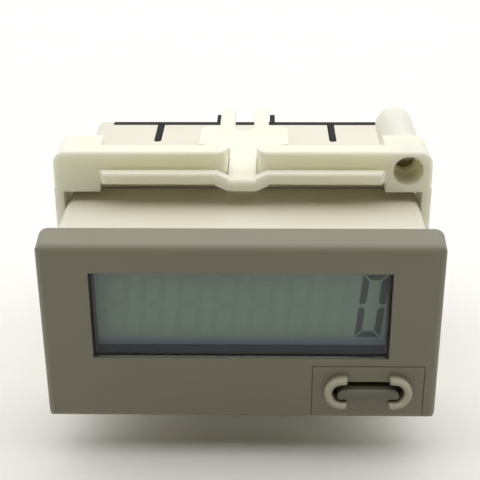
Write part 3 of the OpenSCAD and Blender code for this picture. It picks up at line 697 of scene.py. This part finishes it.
for node_name in ("clamp_screw_upper", "clamp_screw_lower"):
    screw_low, screw_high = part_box(node_name)
    axis = (screw_low + screw_high) / 2
    thread_name = node_name + "_thread"
    settle(new_object(thread_name, thread_mesh(thread_name, axis.x, axis.z)),
           BODY_OF[node_name])

# %% [markdown]
# The black terminal moulding closes the rear of the case, and its flange laps a little over the rim of
# the case above and below. Seen from the front it is the black line along the rear edge.

# %% Flange of the terminal block
FLANGE_HALF_W = 19.9
FLANGE_Y = (38.95, 39.65)
FLANGE_Z = (10.9, 11.03)

half_flange = FLANGE_HALF_W * MM
for flange_name, side in (("terminal_flange_upper", 1), ("terminal_flange_lower", -1)):
    inner, outer = [side * z * MM for z in FLANGE_Z]
    strip = [(-half_flange, inner), (half_flange, inner), (half_flange, outer), (-half_flange, outer)]
    prism_piece(flange_name, strip, FLANGE_Y[0] * MM, FLANGE_Y[1] * MM, black_pbt)

# %% [markdown]
# The terminals are numbered on the black plate below their screws, so that a wire can be found again.
# Each numeral is printed in pale ink: text, made a mesh, turned to face the rear and set on the
# plate. A film of ink is about 0.02 mm thick and is drawn a little thicker.

# %% Terminal numbers
NUMBER_SIZE = 3.4
NUMBER_T = 0.05
NUMBER_Z = -6.6
TERMINAL_X = (15.64, 7.88, -7.88, -15.64)
PLATE_Y = 40.3

# Numerals, printing ink: a warm pale grey, chalky against the black.
printing_ink = moulded("pale_printing_ink", "#d9d6cb", "#d1cec3", 0.6, 0.2, 0.004)


def numerals(name):
    """The numerals 1 to 4 in one mesh, in their places on the rear plate."""
    to_rear = Matrix.Rotation(math.pi, 4, "Z") @ Matrix.Rotation(math.pi / 2, 4, "X")
    work = bmesh.new()
    for count, x in enumerate(TERMINAL_X, start=1):
        letter = bpy.data.curves.new("numeral", "FONT")
        letter.body = str(count)
        letter.align_x = "CENTER"
        letter.align_y = "CENTER"
        letter.size = NUMBER_SIZE * MM
        letter.extrude = NUMBER_T * MM
        holder = new_object("numeral", letter)
        flat = evaluated_mesh(holder)
        bpy.data.objects.remove(holder)
        flat.transform(Matrix.Translation(Vector((x, PLATE_Y, NUMBER_Z)) * MM) @ to_rear)
        work.from_mesh(flat)
    bmesh.ops.remove_doubles(work, verts=work.verts, dist=MERGE)
    return closed_mesh(work, name, printing_ink)


settle(new_object("terminal_numbers", numerals("terminal_numbers")), "counter")

# %% [markdown]
# The floor is a plain white sheet under the bracket's lowest blocks. Lit only by lamps it would turn
# grey far from the object, and brighter lamps would bleach the object. So rays that come straight
# from the camera, from a mirror or through a window also see some white of the floor's own, next to
# none near the object, where its shadow lies, and all of it far away.

# %% Floor
GLOW_NEAR = 0.03
GLOW_FROM = 0.12
GLOW_TO = 0.4
FLOOR_HALF = 1.5
FLOOR_GAP = 0.02
WHITE = colour("#ffffff")


def seen_directly(tree):
    """A socket that is 1 for camera, mirror and window rays, and 0 for scattered light."""
    path = add(tree, "ShaderNodeLightPath")
    mirror = add(tree, "ShaderNodeMath", settings={"operation": "MAXIMUM"},
                 links={0: path.outputs["Is Camera Ray"], 1: path.outputs["Is Glossy Ray"]})
    window = add(tree, "ShaderNodeMath", settings={"operation": "MAXIMUM"},
                 links={0: mirror.outputs["Value"], 1: path.outputs["Is Transmission Ray"]})
    return window.outputs["Value"]


def white_floor():
    """Matt white paper that shows more of its own white with distance."""
    made = bpy.data.materials.new("white_paper_sweep")
    made.use_nodes = True
    tree = made.node_tree
    tree.nodes.clear()
    matt = add(tree, "ShaderNodeBsdfDiffuse", values={"Color": WHITE})
    glow = add(tree, "ShaderNodeEmission", values={"Color": WHITE, "Strength": 1.0})
    place = add(tree, "ShaderNodeTexCoord").outputs["Object"]
    away = add(tree, "ShaderNodeVectorMath", settings={"operation": "LENGTH"}, links={0: place})
    own = add(tree, "ShaderNodeMapRange", links={"Value": away.outputs["Value"]}, values={
        "From Min": GLOW_FROM, "From Max": GLOW_TO, "To Min": GLOW_NEAR, "To Max": 1.0})
    share = add(tree, "ShaderNodeMath", settings={"operation": "MULTIPLY"},
                links={0: seen_directly(tree), 1: own.outputs["Result"]})
    both = add(tree, "ShaderNodeMixShader", links={
        "Fac": share.outputs["Value"], 1: matt.outputs["BSDF"], 2: glow.outputs["Emission"]})
    add(tree, "ShaderNodeOutputMaterial", links={"Surface": both.outputs["Shader"]})
    return made


floor_z = cad_low.z - FLOOR_GAP * MM
corners = [(-FLOOR_HALF, -FLOOR_HALF), (FLOOR_HALF, -FLOOR_HALF),
           (FLOOR_HALF, FLOOR_HALF), (-FLOOR_HALF, FLOOR_HALF)]
floor_mesh = bpy.data.meshes.new("floor")
floor_mesh.from_pydata([(x, y, floor_z) for x, y in corners], [], [(0, 1, 2, 3)])
floor_mesh.materials.append(white_floor())
new_object("floor", floor_mesh)
print("floor at", round(floor_z / MM, 2), "mm")

# %% [markdown]
# The light is a wide soft box overhead, a little behind the counter, so that the tops are bright, the
# front is calm and the shadow falls forward. A very weak fill stands in front. The world gives a dim
# warm light into the shadows, and shows plain white to the rays that see it directly.

# %% Lamps and surroundings
OVERHEAD_PLACE = (0.0, 0.15, 0.5)
OVERHEAD_SIZE = (2.4, 1.0)
OVERHEAD_WATTS = 11.2
FILL_PLACE = (-0.2, -0.5, 0.25)
FILL_SIZE = (0.4, 0.4)
FILL_WATTS = 0.02
AMBIENT = colour("#e6c840")
AMBIENT_STRENGTH = 0.07


def soft_box(name, place, target, size, watts):
    """An area lamp that points at a target."""
    lamp = bpy.data.lights.new(name, "AREA")
    lamp.shape = "RECTANGLE"
    lamp.size, lamp.size_y = size
    lamp.energy = watts
    made = new_object(name, lamp)
    made.location = place
    made.rotation_euler = (target - Vector(place)).to_track_quat("-Z", "Y").to_euler()


centre = (cad_low + cad_high) / 2
soft_box("overhead", OVERHEAD_PLACE, centre, OVERHEAD_SIZE, OVERHEAD_WATTS)
soft_box("front_fill", FILL_PLACE, centre, FILL_SIZE, FILL_WATTS)

world = bpy.data.worlds.new("studio")
bpy.context.scene.world = world
world.use_nodes = True
sky = world.node_tree
sky.nodes.clear()
ambient = add(sky, "ShaderNodeBackground", values={"Color": AMBIENT, "Strength": AMBIENT_STRENGTH})
backdrop = add(sky, "ShaderNodeBackground", values={"Color": WHITE, "Strength": 1.0})
choice = add(sky, "ShaderNodeMixShader", links={
    "Fac": seen_directly(sky), 1: ambient.outputs["Background"], 2: backdrop.outputs["Background"]})
add(sky, "ShaderNodeOutputWorld", links={"Surface": choice.outputs["Shader"]})
bpy.context.scene.view_settings.view_transform = "Standard"
print("lamps of", OVERHEAD_WATTS, "and", FILL_WATTS, "watts")

# %% [markdown]
# The camera stands in front of the counter and a little above it, close enough for the case to
# narrow towards the rear. Its place and its three angles were found by fitting known corners of the
# 48 mm front to the photograph.

# %% Camera
CAMERA_PLACE = Vector((2.555, -114.93, 65.57)) * MM
PITCH_DOWN = math.radians(25.6)
YAW = math.radians(1.322)
ROLL = math.radians(-0.386)
SENSOR_MM = 36.0
FOCAL_SHARE = 2.25
NEAREST = 5.0 * MM

camera_data = bpy.data.cameras.new("camera")
camera_data.sensor_width = SENSOR_MM
camera_data.lens = FOCAL_SHARE * SENSOR_MM
camera_data.clip_start = NEAREST
camera = new_object("camera", camera_data)
camera.matrix_world = (
    Matrix.Translation(CAMERA_PLACE) @ Matrix.Rotation(YAW, 4, "Z")
    @ Matrix.Rotation(math.pi / 2 - PITCH_DOWN, 4, "X") @ Matrix.Rotation(ROLL, 4, "Z"))
bpy.context.scene.camera = camera
print("camera with a", camera_data.lens, "mm lens")
